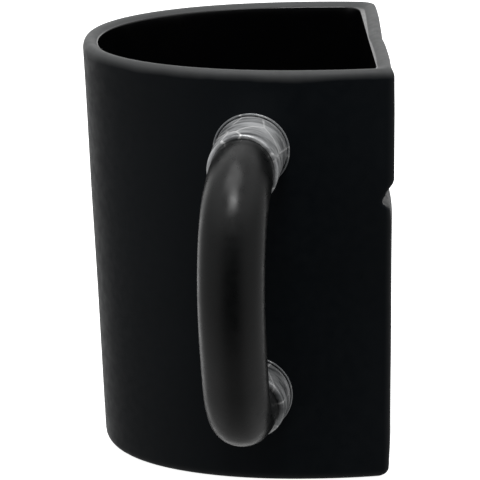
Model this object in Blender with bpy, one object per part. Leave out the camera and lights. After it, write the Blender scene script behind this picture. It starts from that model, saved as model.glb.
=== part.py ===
"""A half-round ceramic mug with a loop handle and a sleeve round each handle root.

Metres, +Z up. +X points out of the flat front wall and -Y out of the handle. The origin is
the centre of the whole mug's footprint, on the surface that the mug stands on.
"""

import math

import bmesh
import bpy
from mathutils import Vector
from mathutils.geometry import interpolate_bezier

# Body outline at the rim: a superellipse cut off by the flat front wall
HEIGHT = 0.105
BACK_REACH = 0.0567  # from the superellipse's centre to the back of the curved wall
HALF_WIDTH = 0.0378
FRONT_REACH = 0.0180  # from the same centre to the flat front wall
ROUNDNESS = 2.18  # superellipse exponent: 2 is an ellipse, and more is squarer
BASE_SCALE = 0.934  # the curved wall's size at the base, as a share of its size at the rim
OUTER_CORNER = 0.0020  # rounding where the flat wall meets the curved one
INNER_CORNER = 0.0045

# Body section
WALL = 0.0038
FLOOR = 0.0060
FLOOR_FILLET = 0.0070
BASE_ROUNDING = 0.0018
FOOT_WIDTH = 0.0050
FOOT_RECESS = 0.0012
GROOVE_HEIGHT = 0.0727  # deepest line of the groove across the flat front wall
GROOVE_BELOW = 0.0021  # from that line down to the lower lip, which is steep
GROOVE_ABOVE = 0.0060  # and up to the upper lip, which is gentle
GROOVE_DEPTH = 0.0027
GROOVE_INSIDE = 0.0016  # how far the inner face steps in behind the groove
GROOVE_INSIDE_REACH = 0.0070  # how far that step runs above and below the same line

# Handle: a bar bent in an upright plane, with its path in (reach, height)
ROOT_X = -0.0160  # both roots, from the superellipse's centre
HANDLE_YAW = math.radians(10)  # the handle's plane swings this far from -Y towards -X
UPPER_ROOT = 0.0856
LOWER_ROOT = 0.0233
HANDLE_RADIUS = 0.0078
UPPER_ROOT_THICKNESS = 0.965  # shares of the handle's radius
LOWER_ROOT_THICKNESS = 0.93
INSIDE_WALL = 0.0020  # how deep the bar starts inside the wall, before it is trimmed
# Each bend: its point, then the two ends of its tangent, all in (reach, height)
UPPER_BEND = ((0.0339, 0.0648), (0.0322, 0.0821), (0.0350, 0.0551))
LOWER_BEND = ((0.0289, 0.0386), (0.0316, 0.0467), (0.0235, 0.0224))
UPPER_ARM = 0.0215  # lengths of the tangents at the roots
LOWER_ARM = 0.0129

# Sleeves and beads round the roots
# Each sleeve: its length along the handle, then its radii at the wall and at its front
UPPER_SLEEVE = (0.0146, 0.0084, 0.0085)
LOWER_SLEEVE = (0.0104, 0.0085, 0.0088)
BEAD_RADIUS = 0.0097
BEAD_THICKNESS = 0.00045
GAP = 0.0003  # between pieces that touch

# Fineness
CURVE_STEPS = 26  # points along half of the curved wall
CORNER_STEPS = 4
ROUND_STEPS = 6  # points along a rounded edge of the section
TUBE_SIDES = 24
PATH_STEPS = 10  # points along each of the handle's three stretches


# Scene


def clear_scene():
    for obj in list(bpy.data.objects):
        bpy.data.objects.remove(obj)


def new_collection(name):
    collection = bpy.data.collections.new(name)
    bpy.context.scene.collection.children.link(collection)
    return collection


def add_object(name, data, collection, parent):
    obj = bpy.data.objects.new(name, data)
    collection.objects.link(obj)
    obj.parent = parent
    return obj


def add_cutter(name, data, collection, parent):
    cutter = add_object(name, data, collection, parent)
    cutter.hide_render = True
    cutter.display_type = "WIRE"
    return cutter


def material(name, color, roughness, metallic):
    made = bpy.data.materials.new(name)
    made.use_nodes = True
    shader = made.node_tree.nodes["Principled BSDF"]
    shader.inputs["Base Color"].default_value = (*color, 1)
    shader.inputs["Roughness"].default_value = roughness
    shader.inputs["Metallic"].default_value = metallic
    made.diffuse_color = (*color, 1)
    return made


def finish(obj, look, sharp_degrees):
    obj.data.materials.clear()
    obj.data.materials.append(look)
    obj.data.shade_smooth()
    obj.data.set_sharp_from_angle(angle=math.radians(sharp_degrees))


# Body


def superellipse(reach, width, angle):
    """A point on the superellipse, on its +Y side, with the angle measured from +X."""
    power = 2 / ROUNDNESS
    x = math.copysign(reach * abs(math.cos(angle)) ** power, math.cos(angle))
    return x, width * math.sin(angle) ** power


def angle_at(share):
    """The angle whose point lies at this share of the superellipse's reach along X."""
    return math.acos(math.copysign(abs(share) ** (ROUNDNESS / 2), share))


def scale_at(z):
    return BASE_SCALE + (1 - BASE_SCALE) * z / HEIGHT


def outline(z, inset, front_inset, corner):
    """One section of the body, as a ring of points from the front wall's middle round to it.

    inset draws the whole section in, and front_inset draws in the flat front wall as well.
    """
    reach = BACK_REACH * scale_at(z) - inset
    width = HALF_WIDTH * scale_at(z) - inset
    front = FRONT_REACH - inset - front_inset
    start = angle_at((front - corner) / reach)
    curve_x, curve_y = superellipse(reach, width, start)
    flat_y = curve_y - corner
    half = [(front, 0.0), (front, flat_y / 2)]
    for step in range(CORNER_STEPS):
        turn = math.pi / 2 * step / CORNER_STEPS
        half.append((curve_x + corner * math.cos(turn), flat_y + corner * math.sin(turn)))
    for step in range(CURVE_STEPS):
        half.append(superellipse(reach, width, start + (math.pi - start) * step / CURVE_STEPS))
    back = [(-reach, 0.0)]
    mirrored = [(x, -y) for x, y in reversed(half[1:])]
    return [Vector((x, y, z)) for x, y in half + back + mirrored]


def dip(z, below, above, depth):
    """A smooth dip round the groove's line, ending this far below and above it."""
    away = z - GROOVE_HEIGHT
    share = min(1, away / above if away > 0 else -away / below)
    return depth * (1 + math.cos(math.pi * share)) / 2


def arc(steps, first=0):
    """Angles over a quarter turn, from step first to the last."""
    return [math.pi / 2 * step / steps for step in range(first, steps + 1)]


def outer_levels():
    """(height, inset) up the outside, from the foot's edge to the foot of the rim's rounding."""
    levels = [(0.0, BASE_ROUNDING)]
    for turn in arc(ROUND_STEPS // 2, first=1):
        inset = BASE_ROUNDING * (1 - math.sin(turn))
        levels.append((BASE_ROUNDING * (1 - math.cos(turn)), inset))
    levels += [(GROOVE_HEIGHT - share * GROOVE_BELOW, 0.0) for share in (1, 0.75, 0.5, 0.25)]
    levels += [(GROOVE_HEIGHT + share * GROOVE_ABOVE, 0.0) for share in (0, 0.25, 0.5, 0.75, 1)]
    levels.append((HEIGHT - WALL / 2, 0.0))
    return levels


def inner_levels():
    """(height, inset) down the inside, from the rim's rounding to the edge of the floor."""
    levels = [(HEIGHT - WALL / 2, WALL)]
    for share in (1, 0.6, 0.2, -0.2, -0.6, -1):
        levels.append((GROOVE_HEIGHT + share * GROOVE_INSIDE_REACH, WALL))
    for turn in arc(ROUND_STEPS // 2):
        inset = WALL + FLOOR_FILLET * (1 - math.cos(turn))
        levels.append((FLOOR + FLOOR_FILLET * (1 - math.sin(turn)), inset))
    return levels


def body_rings():
    """Every section of the body, from the foot's recess up the outside and down the inside."""
    rings = [outline(FOOT_RECESS, BASE_ROUNDING + FOOT_WIDTH + FOOT_RECESS, 0.0, OUTER_CORNER)]
    rings.append(outline(0.0, BASE_ROUNDING + FOOT_WIDTH, 0.0, OUTER_CORNER))
    for z, inset in outer_levels():
        groove = dip(z, GROOVE_BELOW, GROOVE_ABOVE, GROOVE_DEPTH)
        rings.append(outline(z, inset, groove, OUTER_CORNER))
    for step in range(1, ROUND_STEPS):
        turn = math.pi * step / ROUND_STEPS
        inset = WALL / 2 * (1 - math.cos(turn))
        corner = OUTER_CORNER + (INNER_CORNER - OUTER_CORNER) * step / ROUND_STEPS
        rings.append(outline(HEIGHT - WALL / 2 * (1 - math.sin(turn)), inset, 0.0, corner))
    for z, inset in inner_levels():
        step_in = dip(z, GROOVE_INSIDE_REACH, GROOVE_INSIDE_REACH, GROOVE_INSIDE)
        rings.append(outline(z, inset, step_in, INNER_CORNER))
    return rings


def loft(name, rings):
    """A closed mesh through the rings, with a flat face over the first and the last."""
    mesh = bpy.data.meshes.new(name)
    made = bmesh.new()
    rows = [[made.verts.new(point) for point in ring] for ring in rings]
    for low, high in zip(rows, rows[1:]):
        for index in range(len(low)):
            after = (index + 1) % len(low)
            made.faces.new((low[index], low[after], high[after], high[index]))
    made.faces.new(reversed(rows[0]))
    made.faces.new(rows[-1])
    bmesh.ops.recalc_face_normals(made, faces=made.faces)
    made.to_mesh(mesh)
    made.free()
    return mesh


def skin_mesh():
    """The body's outside as a solid, grown by the gap, for trimming what meets the wall."""
    levels = (-HEIGHT * 0.1, HEIGHT * 0.5, HEIGHT * 1.1)
    return loft("skin", [outline(z, -GAP, 0.0, OUTER_CORNER) for z in levels])


def wall_point(z):
    """Where the handle's plane meets the outside of the curved wall."""
    reach = BACK_REACH * scale_at(z)
    width = HALF_WIDTH * scale_at(z)
    return Vector((ROOT_X, -superellipse(reach, width, angle_at(ROOT_X / reach))[1], z))


def wall_normal(z):
    """The curved wall's outward direction at that point, level with the ground."""
    point = wall_point(z)
    normal = Vector((0, 0, 0))
    for axis, half in enumerate((BACK_REACH * scale_at(z), HALF_WIDTH * scale_at(z))):
        slope = abs(point[axis] / half) ** (ROUNDNESS - 1) / half
        normal[axis] = math.copysign(slope, point[axis])
    return normal.normalized()


# Handle, sleeves and beads


def on_path(reach, height):
    """A point in the handle's plane, in the handle's own axes."""
    return Vector((reach, 0, height))


def handle_knots():
    """(tangent end before, point, tangent end after) of each knot along the handle."""
    bends = [[on_path(*corner) for corner in bend] for bend in (UPPER_BEND, LOWER_BEND)]
    top = on_path(0, UPPER_ROOT)
    bottom = on_path(0, LOWER_ROOT)
    return [
        (top, top, on_path(UPPER_ARM, UPPER_ROOT)),
        (bends[0][1], bends[0][0], bends[0][2]),
        (bends[1][1], bends[1][0], bends[1][2]),
        (on_path(LOWER_ARM, LOWER_ROOT), bottom, bottom),
    ]


def handle_path():
    """The bar's centre line as evenly read points, running a little inside the wall."""
    points = [on_path(-INSIDE_WALL, UPPER_ROOT)]
    knots = handle_knots()
    for (_, start, after), (before, end, _) in zip(knots, knots[1:]):
        points += interpolate_bezier(start, after, before, end, PATH_STEPS + 1)[:-1]
    points.append(knots[-1][1])
    points.append(on_path(-INSIDE_WALL * 2, LOWER_ROOT))
    return points


def thickness_at(share):
    """The bar's radius, as a share of the full one, at this share of its length."""
    if share < 0.5:
        return UPPER_ROOT_THICKNESS + (1 - UPPER_ROOT_THICKNESS) * min(1, share / 0.3)
    return LOWER_ROOT_THICKNESS + (1 - LOWER_ROOT_THICKNESS) * min(1, (1 - share) / 0.3)


def tube_object(name, points, radii, collection, parent):
    """A round bar through the points, as a mesh object with welded caps."""
    curve = bpy.data.curves.new(name, "CURVE")
    curve.dimensions = "3D"
    curve.bevel_depth = 1
    curve.bevel_resolution = TUBE_SIDES // 2 - 2
    curve.use_fill_caps = True
    spline = curve.splines.new("POLY")
    spline.points.add(len(points) - 1)
    for knot, point, radius in zip(spline.points, points, radii):
        knot.co = (*point, 1)
        knot.radius = radius
    source = add_object(name, curve, collection, parent)
    bpy.context.view_layer.update()
    graph = bpy.context.evaluated_depsgraph_get()
    mesh = bpy.data.meshes.new_from_object(source.evaluated_get(graph))
    bpy.data.objects.remove(source)
    welded = bmesh.new()
    welded.from_mesh(mesh)
    bmesh.ops.remove_doubles(welded, verts=welded.verts, dist=1e-6)
    bmesh.ops.recalc_face_normals(welded, faces=welded.faces)
    welded.to_mesh(mesh)
    welded.free()
    return add_object(name, mesh, collection, parent)


def cut(obj, *cutters):
    for cutter in cutters:
        boolean = obj.modifiers.new(cutter.name, "BOOLEAN")
        boolean.operation = "DIFFERENCE"
        boolean.solver = "EXACT"
        boolean.object = cutter


def bar_radii(points, extra):
    last = len(points) - 1
    return [HANDLE_RADIUS * thickness_at(i / last) + extra for i in range(len(points))]


def sleeve_path(points, length):
    """The start of the path, cut off at this length past the wall."""
    kept = [points[0], points[1]]
    left = length
    for before, after in zip(points[1:], points[2:]):
        stretch = (after - before).length
        kept.append(before + (after - before) * min(1, left / stretch))
        left -= stretch
        if left <= 0:
            break
    return kept


def add_sleeve(name, points, sizes, collection, parent):
    length, wall_radius, front_radius = sizes
    path = sleeve_path(points, length)
    last = len(path) - 1
    radii = [wall_radius + (front_radius - wall_radius) * i / last for i in range(last + 1)]
    return tube_object(name, path, radii, collection, parent)


def add_bead(name, z, collection, parent):
    bpy.ops.mesh.primitive_torus_add(
        major_segments=2 * TUBE_SIDES,
        minor_segments=8,
        major_radius=BEAD_RADIUS,
        minor_radius=BEAD_THICKNESS,
    )
    bead = bpy.context.active_object
    bead.name = name
    for holder in list(bead.users_collection):
        holder.objects.unlink(bead)
    collection.objects.link(bead)
    bead.parent = parent
    bead.location = wall_point(z) + wall_normal(z) * BEAD_THICKNESS
    bead.rotation_euler = wall_normal(z).to_track_quat("Z", "Y").to_euler()
    return bead


def main():
    clear_scene()
    mug = new_collection("mug")
    cutters = new_collection("cutters")

    # The body's own axis stands off the origin, which is the middle of the whole footprint
    path = handle_path()
    radii = bar_radii(path, 0)
    reach = max(math.cos(HANDLE_YAW) * point.x + radius for point, radius in zip(path, radii))
    middle_x = (FRONT_REACH - BACK_REACH) / 2
    middle_y = (HALF_WIDTH + wall_point(UPPER_ROOT).y - reach) / 2
    frame = add_object("mug_frame", None, mug, None)
    frame.location = (-middle_x, -middle_y, 0)
    root = wall_point(UPPER_ROOT)
    grip = add_object("handle_frame", None, mug, frame)
    grip.location = (root.x, root.y, 0)
    grip.rotation_euler = (0, 0, -math.pi / 2 - HANDLE_YAW)

    body = add_object("mug_body", loft("mug_body", body_rings()), mug, frame)
    skin = add_cutter("skin", skin_mesh(), cutters, frame)

    handle = tube_object("handle", path, radii, mug, grip)
    clearance = tube_object("handle_clearance", path, bar_radii(path, GAP), cutters, grip)
    clearance.hide_render = True
    clearance.display_type = "WIRE"
    cut(handle, skin)

    upper = add_sleeve("upper_handle_collar", path, UPPER_SLEEVE, mug, grip)
    lower = add_sleeve("lower_handle_collar", path[::-1], LOWER_SLEEVE, mug, grip)
    cut(upper, clearance, skin)
    cut(lower, clearance, skin)
    upper_bead = add_bead("upper_collar_bead", UPPER_ROOT, mug, frame)
    lower_bead = add_bead("lower_collar_bead", LOWER_ROOT, mug, frame)
    cut(upper_bead, skin)
    cut(lower_bead, skin)

    black = (0.012, 0.013, 0.016)
    silver = (0.45, 0.46, 0.47)
    finish(body, material("body_glaze", black, 0.42, 0), 40)
    finish(handle, material("handle_glaze", black, 0.36, 0), 40)
    finish(upper, material("upper_sleeve_lustre", silver, 0.28, 0.7), 40)
    finish(lower, material("lower_sleeve_lustre", silver, 0.28, 0.7), 40)
    finish(upper_bead, material("upper_bead_lustre", silver, 0.25, 0.7), 40)
    finish(lower_bead, material("lower_bead_lustre", silver, 0.25, 0.7), 40)


main()
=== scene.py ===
"""The half-round black ceramic mug: fine surface, glazes, studio light and camera.

Metres, +Z up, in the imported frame: +X out of the flat front wall, -Y out of the handle.
"""

import math

import bmesh
import bpy
from mathutils import Matrix, Vector, noise


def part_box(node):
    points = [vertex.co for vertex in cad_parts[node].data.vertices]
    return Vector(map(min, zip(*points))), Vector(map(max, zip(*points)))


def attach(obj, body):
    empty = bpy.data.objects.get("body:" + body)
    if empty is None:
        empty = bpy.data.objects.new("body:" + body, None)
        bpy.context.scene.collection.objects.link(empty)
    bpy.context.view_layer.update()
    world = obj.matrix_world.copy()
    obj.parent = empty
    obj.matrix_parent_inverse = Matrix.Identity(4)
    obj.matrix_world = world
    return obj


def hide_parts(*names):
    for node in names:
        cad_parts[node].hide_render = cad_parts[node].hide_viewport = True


# Body outline at the rim: a superellipse cut off by the flat front wall
BACK_REACH = 0.0565  # from the superellipse's centre to the back of the curved wall
HALF_WIDTH = 0.0378
FRONT_REACH = 0.0180  # from the same centre to the flat front wall
ROUNDNESS = 2.18  # superellipse exponent: 2 is an ellipse, and more is squarer
BASE_SCALE = 0.934  # the curved wall's size at the base, as a share of its size at the rim
OUTER_CORNER = 0.0020  # rounding where the flat wall meets the curved one
INNER_CORNER = 0.0045

# Body section
WALL = 0.0038
FLOOR = 0.0060
FLOOR_FILLET = 0.0070
BASE_ROUNDING = 0.0026
FOOT_WIDTH = 0.0042
FOOT_RECESS = 0.0012
FOOT_SLOPE = 0.0009  # the recess's side runs in this far as it rises
FOOT_EDGE_WIDTH = 0.0003  # small bevel on the foot ring's inner edge
FOOT_EDGE_HEIGHT = 0.0002
RIM_SHOULDER = 0.0024  # how far down the rim's outer rounding reaches
RIM_ROUNDING = 0.0016  # and how far in
RIM_DROP = 0.0009  # the rim's crowned top falls this much towards the inside
RIM_INNER_EDGE = 0.0003  # radius of the rim's crisp inner edge

# Flat wall: a raised band, the groove, and a swelling panel under it
BAND_PROUD = 0.0003  # the band above the groove stands this much proud
GROOVE_HEIGHT = 0.0721
GROOVE_BELOW = 0.0021  # from the deepest line down to the lower lip
GROOVE_ABOVE = 0.0054  # and up to the upper lip
GROOVE_DEPTH = 0.0030
GROOVE_INSIDE = 0.0016  # how far the inner face steps in behind the groove
GROOVE_INSIDE_REACH = 0.0070  # how far that step runs above and below
PANEL_STEP = 0.0007  # the panel's edges stand back this much
PANEL_FOOT_SHARE = 0.4  # share of that step left at the very base
PANEL_BASE = 0.002  # height where the panel starts
PANEL_CROWN = 0.0020  # the panel's middle swells out by this
PANEL_CROWN_POWER = 2.5
PANEL_CROWN_RISE = 0.012  # height where the swelling is full
PANEL_STEP_RISE = 0.014  # height where the step is full
PANEL_TOP = (0.0055, 0.0005)  # the swelling fades between these distances below the groove

# The flat wall's top edge wanders: a swelling, and two hollows as (place, width)
RIM_WAVE_REACH = (0.012, 0.002)  # the wandering fades in between these depths below the rim
RIM_SWELL = 0.0006
RIM_SWELL_SPAN = (0.004, 0.030)
RIM_HOLLOW = 0.00028
RIM_HOLLOWS = ((0.0, 0.005), (-0.0285, 0.0065))

# Unevenness of a hand-finished casting
WOBBLE = 0.00010
WOBBLE_SCALE = 38.0
HANDLE_WOBBLE = 0.6  # share of it on the handle
SLEEVE_WOBBLE = 0.9
SLEEVE_WOBBLE_SCALE = 2.4

# Handle, in (reach, height) from the upper root's place on the wall
ROOT_X = -0.0160
HANDLE_YAW = math.radians(10)
UPPER_ROOT = 0.0856
LOWER_ROOT = 0.0233
UPPER_BEND = ((0.0339, 0.0648), (0.0322, 0.0821), (0.0350, 0.0551))
LOWER_BEND = ((0.0289, 0.0386), (0.0316, 0.0467), (0.0235, 0.0224))
UPPER_ARM = 0.0215
LOWER_ARM = 0.0129
SUNK = 0.001  # how deep the bar's ends reach into the wall
HANDLE_RADIUS = 0.0078
UPPER_ROOT_SHARE = 0.965  # the bar's radius at its roots, as shares of the full one
LOWER_ROOT_SHARE = 0.93
ROOT_TAPER = 0.3  # share of the bar's length over which it thickens

# Sleeves: length along the handle, radius at the wall, radius at the front
UPPER_SLEEVE = (0.0143, 0.0085, 0.0085)
LOWER_SLEEVE = (0.0070, 0.0090, 0.0088)
SLEEVE_SLANT = 0.0034  # how much longer a sleeve is on its inner side than on its outer one
SLEEVE_LIP = 0.0004  # rounding of the front edge
SLEEVE_BORE = HANDLE_RADIUS * 0.90  # hidden inside the bar
FLARE = 0.0001
FLARE_REACH = 0.0012

# Thin rings where the sleeves meet the wall
RING_THICKNESS = 0.00027
RING_LIFT = 0.0001
UPPER_RING = 0.0090
LOWER_RING = 0.0096
PROBE = 0.0005  # half the distance between points that give a slope on the wall

# Fineness
FLAT_STEPS = 26
CORNER_STEPS = 6
CURVE_STEPS = 64
CURVE_CROWDING = 1.15  # more than 1 crowds the curved wall's points towards the corner
BASE_STEPS = 6
PANEL_LEVELS = 30
GROOVE_LEVELS = 34
BAND_LEVELS = 16
GROOVE_MARGIN = (0.006, 0.001)  # the fine levels reach this far past the groove's lips
SHOULDER_STEPS = 10
CREST_STEPS = 6
RIM_EDGE_STEPS = 4
INNER_LEVELS = 36
FILLET_STEPS = 8
FOOT_SHARES = (0.25, 0.5, 0.75, 0.95)  # sizes of the rings that fill the recess
FLOOR_SHARES = (0.8, 0.55, 0.3, 0.1)  # each floor ring's size, as a share of the one before
TUBE_SIDES = 64
PATH_STEPS = 46
SLEEVE_LEVELS = 44
RING_SIDES = 96
RING_WIRE_SIDES = 12

# Places in the body's list of materials
GLAZE, INNER_GLAZE, CLAY = 0, 1, 2

# Tones: dark and light of the glaze's clouds
BODY_TONES = ((0.0016, 0.0032, 0.0048), (0.0032, 0.0052, 0.0074))
HANDLE_TONES = ((0.0030, 0.0034, 0.0035), (0.0060, 0.0066, 0.0068))
INNER_TONES = ((0.0010, 0.0011, 0.0013), (0.0022, 0.0023, 0.0026))
CLAY_TONES = ((0.36, 0.31, 0.25), (0.56, 0.51, 0.44))
# Lustre: dark streak, light streak, scratch
SLEEVE_TONES = ((0.12, 0.125, 0.13), (0.62, 0.63, 0.64), (0.95, 0.95, 0.95))
RING_TONES = ((0.25, 0.26, 0.27), (0.4, 0.41, 0.42), (0.6, 0.6, 0.6))
# Painted highlight along the rim, a paler band standing in for the light from above: where it starts and
# is full, below the top, and its tone
RIM_HIGHLIGHT_START = 0.0025
RIM_HIGHLIGHT_FULL = 0.0007
RIM_HIGHLIGHT_TONE = (0.074, 0.076, 0.077)
# Each glaze: roughness, specular level
BODY_FINISH = (0.52, 0.18)
HANDLE_FINISH = (0.30, 0.33)

# Studio light by direction: axis, where it starts, where it is full, strength
ROOM_LIGHT = 0.015
LIGHT_RAMPS = (
    ("Z", 0.25, 0.85, 0.55),
    ("Z", -0.45, -0.95, 0.30),
    ("Y", 0.50, 0.95, 1.15),
    ("X", 0.15, 0.90, 0.38),
    ("X", -0.15, -0.90, 0.38),
)
# Softboxes: name, place, what it points at, size, power
SOFTBOXES = (
    ("top_box", (-0.1, 0.1, 1.2), (0, 0, 0.08), (0.7, 0.7), 4.0),
    ("front_box", (-0.03, -0.42, 1.02), (0, 0, 0.07), (0.34, 0.20), 3.7),
)
FLOOR_SIZE = 8.0
FLOOR_DROP = 0.0002
FLOOR_GLOW = 0.95

# Camera: place from the body's axis, aim and lens in millimetres
CAMERA_PLACE = (-0.03653, -0.70726, 0.27600)
CAMERA_YAW = 0.02631
CAMERA_PITCH = 0.3068
CAMERA_ROLL = -0.00836
CAMERA_LENS = 219.9
CAMERA_SENSOR = 36.0
CAMERA_REACH = 50.0

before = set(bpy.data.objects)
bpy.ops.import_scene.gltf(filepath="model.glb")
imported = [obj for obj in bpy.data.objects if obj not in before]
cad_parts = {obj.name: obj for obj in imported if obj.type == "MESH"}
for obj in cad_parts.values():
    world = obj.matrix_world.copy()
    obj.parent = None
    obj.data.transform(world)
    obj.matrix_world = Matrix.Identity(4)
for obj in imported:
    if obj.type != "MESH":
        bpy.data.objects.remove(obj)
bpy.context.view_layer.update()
low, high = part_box("mug_body")
HEIGHT = high[2]
CENTRE = Vector((high[0] - FRONT_REACH, (low[1] + high[1]) / 2, 0))


# Shapes


def smooth(low_edge, high_edge, value):
    """0 up to the low edge, 1 from the high edge, and an S curve between."""
    share = min(1.0, max(0.0, (value - low_edge) / (high_edge - low_edge)))
    return share * share * (3 - 2 * share)


def hump(away, width):
    return math.exp(-((away / width) ** 2))


def quarter(steps):
    """The angles of a quarter turn, without the first one."""
    return [math.pi / 2 * step / steps for step in range(1, steps + 1)]


def superellipse(reach, width, angle):
    power = 2 / ROUNDNESS
    x = math.copysign(reach * abs(math.cos(angle)) ** power, math.cos(angle))
    return x, width * abs(math.sin(angle)) ** power


def angle_at(share):
    """The superellipse's angle where x is this share of its reach."""
    return math.acos(math.copysign(min(1.0, abs(share)) ** (ROUNDNESS / 2), share))


def scale_at(z):
    return BASE_SCALE + (1 - BASE_SCALE) * z / HEIGHT


def dip(z, below, above, depth):
    """Depth of a groove with a rounded bottom and flanks of two lengths."""
    away = z - GROOVE_HEIGHT
    share = min(1.0, away / above if away > 0 else -away / below)
    return depth * (1 + math.cos(math.pi * share)) / 2


def wobble(point):
    return WOBBLE * noise.noise(point * WOBBLE_SCALE)


def skin(rings, ends="closed", slots=None):
    """A mesh through rings of equal length. ends is closed (a cap on each) or joined (a loop)."""
    made = bmesh.new()
    rows = [[made.verts.new(point) for point in ring] for ring in rings]
    pairs = list(zip(rows, rows[1:]))
    if ends == "joined":
        pairs.append((rows[-1], rows[0]))
    for row, (before, after) in enumerate(pairs):
        for index in range(len(before)):
            following = (index + 1) % len(before)
            corners = (before[index], before[following], after[following], after[index])
            face = made.faces.new(corners)
            face.material_index = slots[row] if slots else 0
    if ends == "closed":
        first = made.faces.new(reversed(rows[0]))
        last = made.faces.new(rows[-1])
        first.material_index = slots[0] if slots else 0
        last.material_index = slots[-1] if slots else 0
    bmesh.ops.recalc_face_normals(made, faces=made.faces)
    return made


def add_piece(name, made, looks, stands_for):
    mesh = bpy.data.meshes.new(name)
    made.to_mesh(mesh)
    made.free()
    mesh.shade_smooth()
    for look in looks:
        mesh.materials.append(look)
    piece = bpy.data.objects.new(name, mesh)
    bpy.context.scene.collection.objects.link(piece)
    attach(piece, "root")
    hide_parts(stands_for)


# Body


def rim_wave(y):
    """The flat wall's top edge wanders a little, as a hand-trimmed edge does."""
    hollows = sum(hump(y - place, width) for place, width in RIM_HOLLOWS)
    return RIM_SWELL * smooth(*RIM_SWELL_SPAN, y) - RIM_HOLLOW * hollows


def panel(y, z):
    """How far the panel stands proud: a step back at its edges, and a swelling in its middle."""
    below = 1 - smooth(GROOVE_HEIGHT - GROOVE_BELOW, GROOVE_HEIGHT, z)
    rise = smooth(PANEL_BASE, PANEL_STEP_RISE, z)
    step = PANEL_STEP * below * (PANEL_FOOT_SHARE + (1 - PANEL_FOOT_SHARE) * rise)
    fade_start, fade_end = [GROOVE_HEIGHT - distance for distance in PANEL_TOP]
    swell = smooth(PANEL_BASE, PANEL_CROWN_RISE, z) * (1 - smooth(fade_start, fade_end, z))
    crown = 1 - min(1.0, abs(y) / HALF_WIDTH) ** PANEL_CROWN_POWER
    return BAND_PROUD * (1 - below) - step + PANEL_CROWN * crown * swell


def front_offset(y, z):
    """How far the flat wall's outside stands proud of its plane."""
    wave_start, wave_full = [HEIGHT - depth for depth in RIM_WAVE_REACH]
    wave = rim_wave(y) * smooth(wave_start, wave_full, z)
    return wave - dip(z, GROOVE_BELOW, GROOVE_ABOVE, GROOVE_DEPTH) + panel(y, z)


def half_outline(z, inset, corner):
    """(x, y, share of the flat wall's offset) from the flat wall's middle to the back."""
    reach = BACK_REACH * scale_at(z) - inset
    width = HALF_WIDTH * scale_at(z) - inset
    front = FRONT_REACH - inset
    start = angle_at((front - corner) / reach)
    curve_x, curve_y = superellipse(reach, width, start)
    flat_y = curve_y - corner
    half = [(front, flat_y * step / FLAT_STEPS, 1.0) for step in range(FLAT_STEPS)]
    for step in range(CORNER_STEPS):
        turn = math.pi / 2 * step / CORNER_STEPS
        x = curve_x + corner * math.cos(turn)
        half.append((x, flat_y + corner * math.sin(turn), math.cos(turn)))
    for step in range(CURVE_STEPS):
        share = (step / CURVE_STEPS) ** CURVE_CROWDING
        x, y = superellipse(reach, width, start + (math.pi - start) * share)
        half.append((x, y, 0.0))
    half.append((-reach, 0.0, 0.0))
    return half


def section(z, inset, corner, outside):
    """One level of the body, as a closed ring of points starting in the flat wall's middle."""
    half = half_outline(z, inset, corner)
    mirrored = [(x, -y, hold) for x, y, hold in reversed(half[1:-1])]
    front = FRONT_REACH - inset
    ring = []
    for x, y, hold in half + mirrored:
        if outside:
            offset = front_offset(y, z)
            x = min(x + hold * offset, front + offset)
        else:
            x -= hold * dip(z, GROOVE_INSIDE_REACH, GROOVE_INSIDE_REACH, GROOVE_INSIDE)
        flat = Vector((x, y, 0))
        grown = flat * (1 + wobble(Vector((x, y, z))) / max(flat.length, 0.001))
        ring.append(CENTRE + Vector((grown.x, grown.y, z)))
    return ring


def shrunk(ring, share, z):
    middle = sum(ring, Vector()) / len(ring)
    return [Vector((*(middle + (point - middle) * share).xy, z)) for point in ring]


def foot_rings():
    """From the middle of the glazed recess to the outer edge of the bare foot ring."""
    edge = BASE_ROUNDING + FOOT_WIDTH + FOOT_RECESS
    recess = section(FOOT_RECESS, edge, OUTER_CORNER, False)
    rings = [(shrunk(recess, share, FOOT_RECESS), GLAZE) for share in FOOT_SHARES]
    rings.append((recess, GLAZE))
    edge -= FOOT_SLOPE
    rings.append((section(FOOT_EDGE_HEIGHT, edge, OUTER_CORNER, False), CLAY))
    edge -= FOOT_EDGE_WIDTH
    rings.append((section(0.0, edge, OUTER_CORNER, False), CLAY))
    rings.append((section(0.0, BASE_ROUNDING, OUTER_CORNER, True), CLAY))
    return rings


def outer_rings():
    """Up the outside, from the base's rounding to the rim's shoulder, finest at the groove."""
    rings = []
    for turn in quarter(BASE_STEPS):
        z = BASE_ROUNDING * (1 - math.cos(turn))
        inset = BASE_ROUNDING * (1 - math.sin(turn))
        rings.append((section(z, inset, OUTER_CORNER, True), GLAZE))
    groove_low = GROOVE_HEIGHT - GROOVE_BELOW - GROOVE_MARGIN[0]
    groove_high = GROOVE_HEIGHT + GROOVE_ABOVE + GROOVE_MARGIN[1]
    stretches = (
        (BASE_ROUNDING, groove_low, PANEL_LEVELS),
        (groove_low, groove_high, GROOVE_LEVELS),
        (groove_high, HEIGHT - RIM_SHOULDER, BAND_LEVELS),
    )
    for start, end, steps in stretches:
        for step in range(1, steps + 1):
            z = start + (end - start) * step / steps
            rings.append((section(z, 0.0, OUTER_CORNER, True), GLAZE))
    return rings


def rim_corner(inset):
    """The corner's radius grows from the outside of the wall to the inside."""
    return OUTER_CORNER + (INNER_CORNER - OUTER_CORNER) * inset / WALL


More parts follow.
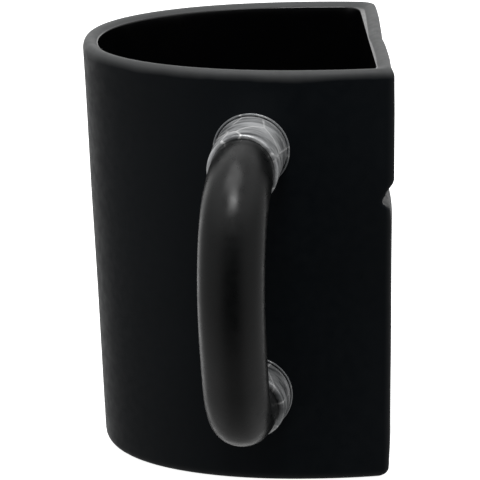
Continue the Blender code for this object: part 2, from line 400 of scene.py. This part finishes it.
def rim_rings():
    """Over the shoulder and the crowned top, then round the crisp inner edge."""
    rings = []
    for turn in quarter(SHOULDER_STEPS):
        z = HEIGHT - RIM_SHOULDER * (1 - math.sin(turn))
        inset = RIM_ROUNDING * (1 - math.cos(turn))
        rings.append((section(z, inset, rim_corner(inset), True), GLAZE))
    for step in range(1, CREST_STEPS + 1):
        share = step / CREST_STEPS
        z = HEIGHT - RIM_DROP * share**2
        inset = RIM_ROUNDING + (WALL - RIM_INNER_EDGE - RIM_ROUNDING) * share
        rings.append((section(z, inset, rim_corner(inset), True), GLAZE))
    for turn in quarter(RIM_EDGE_STEPS):
        z = HEIGHT - RIM_DROP - RIM_INNER_EDGE * (1 - math.cos(turn))
        inset = WALL - RIM_INNER_EDGE * (1 - math.sin(turn))
        rings.append((section(z, inset, INNER_CORNER, False), INNER_GLAZE))
    return rings


def inner_rings():
    """Down the inside and over the floor, to near its middle."""
    rings = []
    top = HEIGHT - RIM_DROP - RIM_INNER_EDGE
    bottom = FLOOR + FLOOR_FILLET
    for step in range(1, INNER_LEVELS + 1):
        z = top - (top - bottom) * step / INNER_LEVELS
        rings.append((section(z, WALL, INNER_CORNER, False), INNER_GLAZE))
    for turn in quarter(FILLET_STEPS):
        inset = WALL + FLOOR_FILLET * (1 - math.cos(turn))
        z = FLOOR + FLOOR_FILLET * (1 - math.sin(turn))
        rings.append((section(z, inset, INNER_CORNER, False), INNER_GLAZE))
    for share in FLOOR_SHARES:
        rings.append((shrunk(rings[-1][0], share, FLOOR), INNER_GLAZE))
    return rings


def body_skin():
    """The body's mesh from the middle of the underside, up the outside and down the inside."""
    rings = foot_rings() + outer_rings() + rim_rings() + inner_rings()
    slots = [slot for _, slot in rings[1:]]
    return skin([ring for ring, _ in rings], "closed", slots)


# Handle


def wall_at(x, z):
    """The outside of the curved wall on the handle's side, from the body's own axis."""
    reach = BACK_REACH * scale_at(z)
    width = HALF_WIDTH * scale_at(z)
    return Vector((x, -superellipse(reach, width, angle_at(x / reach))[1], z))


def wall_normal(x, z):
    along = wall_at(x + PROBE, z) - wall_at(x - PROBE, z)
    up = wall_at(x, z + PROBE) - wall_at(x, z - PROBE)
    return along.cross(up).normalized()


def handle_across():
    """Square to the plane that the handle is bent in."""
    return Vector((math.cos(HANDLE_YAW), -math.sin(HANDLE_YAW), 0))


def grip_point(reach, height):
    root = wall_at(ROOT_X, UPPER_ROOT)
    out = Vector((-math.sin(HANDLE_YAW), -math.cos(HANDLE_YAW), 0))
    return CENTRE + Vector((root.x, root.y, height)) + out * reach


def bezier(start, start_tangent, end_tangent, end, share):
    left = 1 - share
    first = start * left**3 + start_tangent * (3 * left**2 * share)
    return first + end_tangent * (3 * left * share**2) + end * share**3


def handle_path():
    """The bar's middle line, from the upper root to the lower one."""
    upper, before_upper, after_upper = [grip_point(*place) for place in UPPER_BEND]
    lower, before_lower, after_lower = [grip_point(*place) for place in LOWER_BEND]
    upper_arm = grip_point(UPPER_ARM, UPPER_ROOT)
    lower_arm = grip_point(LOWER_ARM, LOWER_ROOT)
    sunk_end = grip_point(-SUNK, LOWER_ROOT)
    stretches = (
        (grip_point(0, UPPER_ROOT), upper_arm, before_upper, upper),
        (upper, after_upper, before_lower, lower),
        (lower, after_lower, lower_arm, sunk_end),
    )
    path = [grip_point(-SUNK, UPPER_ROOT)]
    for stretch in stretches:
        path += [bezier(*stretch, step / PATH_STEPS) for step in range(PATH_STEPS)]
    path.append(sunk_end)
    return path


def lengths(path):
    """How far along the path each of its points is."""
    total = [0.0]
    for before, after in zip(path, path[1:]):
        total.append(total[-1] + (after - before).length)
    return total


def bar_radius(share):
    root = UPPER_ROOT_SHARE if share < 0.5 else LOWER_ROOT_SHARE
    end = min(share, 1 - share)
    return HANDLE_RADIUS * (root + (1 - root) * smooth(0.0, ROOT_TAPER, end))


def ring_round(path, index, radius):
    """A ring of points square to the path at one of its points."""
    before = path[max(index - 1, 0)]
    after = path[min(index + 1, len(path) - 1)]
    tangent = (after - before).normalized()
    across = handle_across()
    other = across.cross(tangent)
    points = []
    for side in range(TUBE_SIDES):
        turn = 2 * math.pi * side / TUBE_SIDES
        points.append(path[index] + (across * math.cos(turn) + other * math.sin(turn)) * radius)
    return points


def handle_rings(path):
    walked = lengths(path)
    rings = []
    for index, middle in enumerate(path):
        ring = ring_round(path, index, bar_radius(walked[index] / walked[-1]))
        rings.append([p + (p - middle).normalized() * wobble(p) * HANDLE_WOBBLE for p in ring])
    return rings


# Sleeves


def place_along(path, walked, goal):
    """The point and direction at this length along the path."""
    index = 0
    while walked[index + 1] < goal and index < len(path) - 2:
        index += 1
    share = (goal - walked[index]) / (walked[index + 1] - walked[index])
    return path[index].lerp(path[index + 1], share), (path[index + 1] - path[index]).normalized()


def sleeve_radius(sizes, share, along, reach):
    """A small flare at the wall, and a rounded lip at the front."""
    _, wall_radius, front_radius = sizes
    radius = wall_radius + (front_radius - wall_radius) * smooth(0, 1, share)
    radius += FLARE * hump(along, FLARE_REACH)
    left = reach - along
    if left < SLEEVE_LIP:
        radius -= SLEEVE_LIP * (1 - math.sqrt(max(0.0, 1 - (1 - left / SLEEVE_LIP) ** 2)))
    return radius


def sleeve_rings(path, sizes, outer_side):
    """Out along the sleeve from the wall, in at its slanted front, and back down its bore.

    outer_side is 1 or -1: the side of the bar's plane that faces away from the finger gap.
    """
    walked = lengths(path)
    across = handle_across()
    outside = [(index / SLEEVE_LEVELS, False) for index in range(SLEEVE_LEVELS + 1)]
    rings = []
    for share, inside in outside + [(1, True), (0, True)]:
        ring = []
        for side in range(TUBE_SIDES):
            turn = 2 * math.pi * side / TUBE_SIDES
            reach = sizes[0] + SLEEVE_SLANT * (1 - math.sin(turn)) / 2
            along = share * reach
            radius = SLEEVE_BORE if inside else sleeve_radius(sizes, share, along, reach)
            middle, tangent = place_along(path, walked, along)
            other = tangent.cross(across) * outer_side
            out = across * math.cos(turn) + other * math.sin(turn)
            point = middle + out * radius
            uneven = wobble(point * SLEEVE_WOBBLE_SCALE) * SLEEVE_WOBBLE
            ring.append(point + out * uneven)
        rings.append(ring)
    return rings


def wall_ring(z, radius):
    """A thin round ring that lies on the curved wall."""
    slope = (wall_at(ROOT_X + 2 * PROBE, z) - wall_at(ROOT_X - 2 * PROBE, z)).normalized().x
    rings = []
    for side in range(RING_SIDES):
        turn = 2 * math.pi * side / RING_SIDES
        x = ROOT_X + radius * math.cos(turn) * slope
        height = z + radius * math.sin(turn)
        normal = wall_normal(x, height)
        middle = CENTRE + wall_at(x, height) + normal * RING_LIFT
        outward = Vector((math.cos(turn) * slope, 0, math.sin(turn)))
        outward = (outward - normal * outward.dot(normal)).normalized()
        loop = []
        for step in range(RING_WIRE_SIDES):
            angle = 2 * math.pi * step / RING_WIRE_SIDES
            spoke = outward * math.cos(angle) + normal * math.sin(angle)
            loop.append(middle + spoke * RING_THICKNESS)
        rings.append(loop)
    return rings


# Materials


class Nodes:
    """Short calls for building one material's node tree."""

    def __init__(self, name):
        self.look = bpy.data.materials.new(name)
        self.look.use_nodes = True
        self.tree = self.look.node_tree
        self.shader = self.tree.nodes["Principled BSDF"]
        self.place = self.add("ShaderNodeTexCoord").outputs["Object"]

    def add(self, kind, **values):
        """A new node. Each value goes to the socket of that name, or else to the setting."""
        node = self.tree.nodes.new(kind)
        for key, value in values.items():
            if isinstance(value, (int, float, tuple)) and key in node.inputs:
                node.inputs[key].default_value = value
            else:
                setattr(node, key, value)
        return node

    def link(self, source, target):
        self.tree.links.new(source, target)

    def drive(self, socket, source):
        """Feed one of the shader's own sockets."""
        self.link(source, self.shader.inputs[socket])

    def set(self, **values):
        for key, value in values.items():
            self.shader.inputs[key.replace("_", " ")].default_value = value

    def stretch(self, scale):
        mapping = self.add("ShaderNodeMapping")
        mapping.inputs["Scale"].default_value = scale
        self.link(self.place, mapping.inputs["Vector"])
        return mapping.outputs["Vector"]

    def grain(self, scale, detail=3.0, roughness=0.5, place=None):
        node = self.add("ShaderNodeTexNoise", Scale=scale, Detail=detail, Roughness=roughness)
        self.link(place or self.place, node.inputs["Vector"])
        return node.outputs["Fac"]

    def spread(self, value, from_low, from_high, to_low, to_high):
        node = self.add("ShaderNodeMapRange")
        for socket, number in zip((1, 2, 3, 4), (from_low, from_high, to_low, to_high)):
            node.inputs[socket].default_value = number
        self.link(value, node.inputs["Value"])
        return node.outputs["Result"]

    def blend(self, share, first, second):
        node = self.add("ShaderNodeMix", data_type="RGBA")
        self.link(share, node.inputs[0])
        for socket, colour in ((6, first), (7, second)):
            if isinstance(colour, tuple):
                node.inputs[socket].default_value = (*colour, 1)
            else:
                self.link(colour, node.inputs[socket])
        return node.outputs[2]

    def bump(self, height, strength, distance, before=None):
        node = self.add("ShaderNodeBump", Strength=strength, Distance=distance)
        self.link(height, node.inputs["Height"])
        if before:
            self.link(before, node.inputs["Normal"])
        return node.outputs["Normal"]

    def combine(self, operation, first, second):
        node = self.add("ShaderNodeMath", operation=operation)
        self.link(first, node.inputs[0])
        self.link(second, node.inputs[1])
        return node.outputs["Value"]

    def edges(self, low_edge, high_edge):
        """0 on flat stretches, rising to 1 on the most convex edges."""
        point = self.add("ShaderNodeNewGeometry").outputs["Pointiness"]
        return self.spread(point, low_edge, high_edge, 0.0, 1.0)


def with_rim_highlight(nodes, tone):
    """The tone with a painted highlight along the rim: a paler band, along an uneven line."""
    axes = nodes.add("ShaderNodeSeparateXYZ")
    nodes.link(nodes.place, axes.inputs[0])
    uneven = nodes.spread(nodes.grain(70.0, 3.0), 0.3, 0.7, -0.0004, 0.0004)
    height = nodes.combine("ADD", axes.outputs["Z"], uneven)
    share = nodes.spread(height, HEIGHT - RIM_HIGHLIGHT_START, HEIGHT - RIM_HIGHLIGHT_FULL, 0.0, 1.0)
    return nodes.blend(share, tone, RIM_HIGHLIGHT_TONE)


def matte_glaze(name, tones, finish, rim_highlight):
    """Matte black glaze: cloudy tone, a fine orange-peel grain, paler glaze on the edges."""
    nodes = Nodes(name)
    dark, light = tones
    roughness, specular = finish
    cloud = nodes.grain(26.0, 5.0, 0.55)
    tone = nodes.blend(nodes.spread(cloud, 0.35, 0.7, 0.0, 1.0), dark, light)
    worn = tuple(channel * 2.2 + 0.004 for channel in light)
    tone = nodes.blend(nodes.edges(0.52, 0.60), tone, worn)
    # Painted highlight: a paler band along the rim's top, for the light from above
    if rim_highlight:
        tone = with_rim_highlight(nodes, tone)
    nodes.drive("Base Color", tone)
    fine = nodes.grain(420.0, 2.0, 0.5)
    nodes.drive("Roughness", nodes.spread(fine, 0.3, 0.7, roughness - 0.05, roughness + 0.06))
    peel = nodes.bump(fine, 0.12, 0.0002)
    nodes.drive("Normal", nodes.bump(nodes.grain(60.0, 2.0), 0.10, 0.0006, peel))
    nodes.set(Specular_IOR_Level=specular, IOR=1.5)
    return nodes.look


def gloss_glaze():
    """The interior: glossy black, with faint upright ripples."""
    nodes = Nodes("interior_glaze")
    nodes.drive("Base Color", nodes.blend(nodes.grain(30.0, 4.0), *INNER_TONES))
    nodes.drive("Roughness", nodes.spread(nodes.grain(90.0), 0.3, 0.7, 0.10, 0.20))
    ripple = nodes.grain(1.0, 2.0, 0.5, nodes.stretch((110.0, 110.0, 18.0)))
    nodes.drive("Normal", nodes.bump(ripple, 0.25, 0.0006))
    nodes.set(Specular_IOR_Level=0.6, IOR=1.5)
    return nodes.look


def bare_clay():
    """The foot ring: unglazed, sandy stoneware."""
    nodes = Nodes("bare_foot")
    sand = nodes.grain(900.0, 3.0, 0.6)
    nodes.drive("Base Color", nodes.blend(nodes.spread(sand, 0.35, 0.65, 0.0, 1.0), *CLAY_TONES))
    nodes.drive("Roughness", nodes.spread(sand, 0.3, 0.7, 0.75, 0.92))
    nodes.drive("Normal", nodes.bump(sand, 0.5, 0.0003))
    return nodes.look


def lustre(name, tones):
    """Silver lustre: brushed streaks, and fine bright scratches across them."""
    nodes = Nodes(name)
    dark, light, bright = tones
    streak = nodes.grain(1.0, 4.0, 0.6, nodes.stretch((60.0, 420.0, 160.0)))
    tone = nodes.blend(nodes.spread(streak, 0.36, 0.64, 0.0, 1.0), dark, light)
    cells = nodes.add("ShaderNodeTexVoronoi", feature="DISTANCE_TO_EDGE", Scale=1.0)
    nodes.link(nodes.stretch((110.0, 90.0, 110.0)), cells.inputs["Vector"])
    line = nodes.spread(cells.outputs["Distance"], 0.0, 0.040, 0.8, 0.0)
    patch = nodes.spread(nodes.grain(130.0, 2.0), 0.38, 0.52, 0.0, 1.0)
    mark = nodes.combine("MULTIPLY", line, patch)
    nodes.drive("Base Color", nodes.blend(mark, tone, bright))
    nodes.drive("Roughness", nodes.spread(streak, 0.3, 0.7, 0.26, 0.42))
    ridges = nodes.bump(streak, 0.2, 0.0003)
    nodes.drive("Normal", nodes.bump(mark, 0.35, 0.0003, ridges))
    nodes.set(Metallic=0.35, Specular_IOR_Level=0.5)
    return nodes.look


# Pieces


def add_body():
    glaze = matte_glaze("body_glaze", BODY_TONES, BODY_FINISH, True)
    looks = (glaze, gloss_glaze(), bare_clay())
    add_piece("body", body_skin(), looks, "mug_body")


def add_handle(path):
    glaze = matte_glaze("handle_glaze", HANDLE_TONES, HANDLE_FINISH, False)
    add_piece("handle_bar", skin(handle_rings(path)), (glaze,), "handle")


def add_sleeves(path):
    silver = (lustre("collar_lustre", SLEEVE_TONES),)
    upper = skin(sleeve_rings(path, UPPER_SLEEVE, 1), "joined")
    lower = skin(sleeve_rings(path[::-1], LOWER_SLEEVE, -1), "joined")
    add_piece("upper_sleeve", upper, silver, "upper_handle_collar")
    add_piece("lower_sleeve", lower, silver, "lower_handle_collar")


def add_rings():
    bright = (lustre("bead_lustre", RING_TONES),)
    upper = skin(wall_ring(UPPER_ROOT, UPPER_RING), "joined")
    lower = skin(wall_ring(LOWER_ROOT, LOWER_RING), "joined")
    add_piece("upper_ring", upper, bright, "upper_collar_bead")
    add_piece("lower_ring", lower, bright, "lower_collar_bead")


# Studio


def add_floor():
    bpy.ops.mesh.primitive_plane_add(size=FLOOR_SIZE, location=(0, 0, -FLOOR_DROP))
    floor = bpy.context.active_object
    floor.name = "floor"
    look = bpy.data.materials.new("floor_paint")
    look.use_nodes = True
    shader = look.node_tree.nodes["Principled BSDF"]
    shader.inputs["Base Color"].default_value = (0.9, 0.9, 0.9, 1)
    shader.inputs["Roughness"].default_value = 0.9
    shader.inputs["Emission Color"].default_value = (1, 1, 1, 1)
    shader.inputs["Emission Strength"].default_value = FLOOR_GLOW
    floor.data.materials.append(look)
    floor.visible_glossy = False
    floor.visible_diffuse = False


def light_strength(tree):
    """The studio's brightness in each direction: the room's own, plus every ramp."""
    place = tree.nodes.new("ShaderNodeTexCoord")
    axes = tree.nodes.new("ShaderNodeSeparateXYZ")
    tree.links.new(place.outputs["Generated"], axes.inputs[0])
    room = tree.nodes.new("ShaderNodeValue")
    room.outputs[0].default_value = ROOM_LIGHT
    total = room.outputs[0]
    for axis, start, full, strength in LIGHT_RAMPS:
        ramp = tree.nodes.new("ShaderNodeMapRange")
        ramp.interpolation_type = "SMOOTHSTEP"
        for socket, number in zip((1, 2, 3, 4), (start, full, 0.0, strength)):
            ramp.inputs[socket].default_value = number
        tree.links.new(axes.outputs[axis], ramp.inputs["Value"])
        both = tree.nodes.new("ShaderNodeMath")
        tree.links.new(total, both.inputs[0])
        tree.links.new(ramp.outputs["Result"], both.inputs[1])
        total = both.outputs[0]
    return total


def add_background(tree):
    background = tree.nodes.new("ShaderNodeBackground")
    background.inputs["Color"].default_value = (1, 1, 1, 1)
    return background


def set_world():
    """White to the camera. To the glazes: a white backdrop behind, soft light above, pale table below."""
    world = bpy.data.worlds.new("studio")
    world.use_nodes = True
    tree = world.node_tree
    tree.nodes.clear()
    room = add_background(tree)
    tree.links.new(light_strength(tree), room.inputs["Strength"])
    white = add_background(tree)
    path = tree.nodes.new("ShaderNodeLightPath")
    mix = tree.nodes.new("ShaderNodeMixShader")
    out = tree.nodes.new("ShaderNodeOutputWorld")
    tree.links.new(path.outputs["Is Camera Ray"], mix.inputs[0])
    tree.links.new(room.outputs[0], mix.inputs[1])
    tree.links.new(white.outputs[0], mix.inputs[2])
    tree.links.new(mix.outputs[0], out.inputs["Surface"])
    bpy.context.scene.world = world


def add_softbox(name, place, target, size, power):
    data = bpy.data.lights.new(name, "AREA")
    data.shape = "RECTANGLE"
    data.size, data.size_y = size
    data.energy = power
    lamp = bpy.data.objects.new(name, data)
    lamp.location = place
    lamp.rotation_euler = (Vector(target) - Vector(place)).to_track_quat("-Z", "Y").to_euler()
    bpy.context.scene.collection.objects.link(lamp)


def camera_turn():
    """The camera's axes as a rotation: yaw from +Y, then pitch down, then roll."""
    level = math.cos(CAMERA_PITCH)
    ahead_x = math.sin(CAMERA_YAW) * level
    ahead = Vector((ahead_x, math.cos(CAMERA_YAW) * level, -math.sin(CAMERA_PITCH)))
    flat = Vector((math.cos(CAMERA_YAW), -math.sin(CAMERA_YAW), 0))
    up = flat.cross(ahead)
    right = flat * math.cos(CAMERA_ROLL) + up * math.sin(CAMERA_ROLL)
    top = up * math.cos(CAMERA_ROLL) - flat * math.sin(CAMERA_ROLL)
    return Matrix((right, top, -ahead)).transposed().to_4x4()


def add_camera():
    """Level with the handle's side, looking down a little."""
    data = bpy.data.cameras.new("camera")
    data.lens = CAMERA_LENS
    data.sensor_width = CAMERA_SENSOR
    data.clip_end = CAMERA_REACH
    camera = bpy.data.objects.new("camera", data)
    camera.matrix_world = Matrix.Translation(CENTRE + Vector(CAMERA_PLACE)) @ camera_turn()
    bpy.context.scene.collection.objects.link(camera)
    bpy.context.scene.camera = camera


def main():
    add_body()
    path = handle_path()
    add_handle(path)
    add_sleeves(path)
    add_rings()
    add_floor()
    set_world()
    bpy.context.scene.view_settings.view_transform = "Standard"
    for softbox in SOFTBOXES:
        add_softbox(*softbox)
    add_camera()


main()
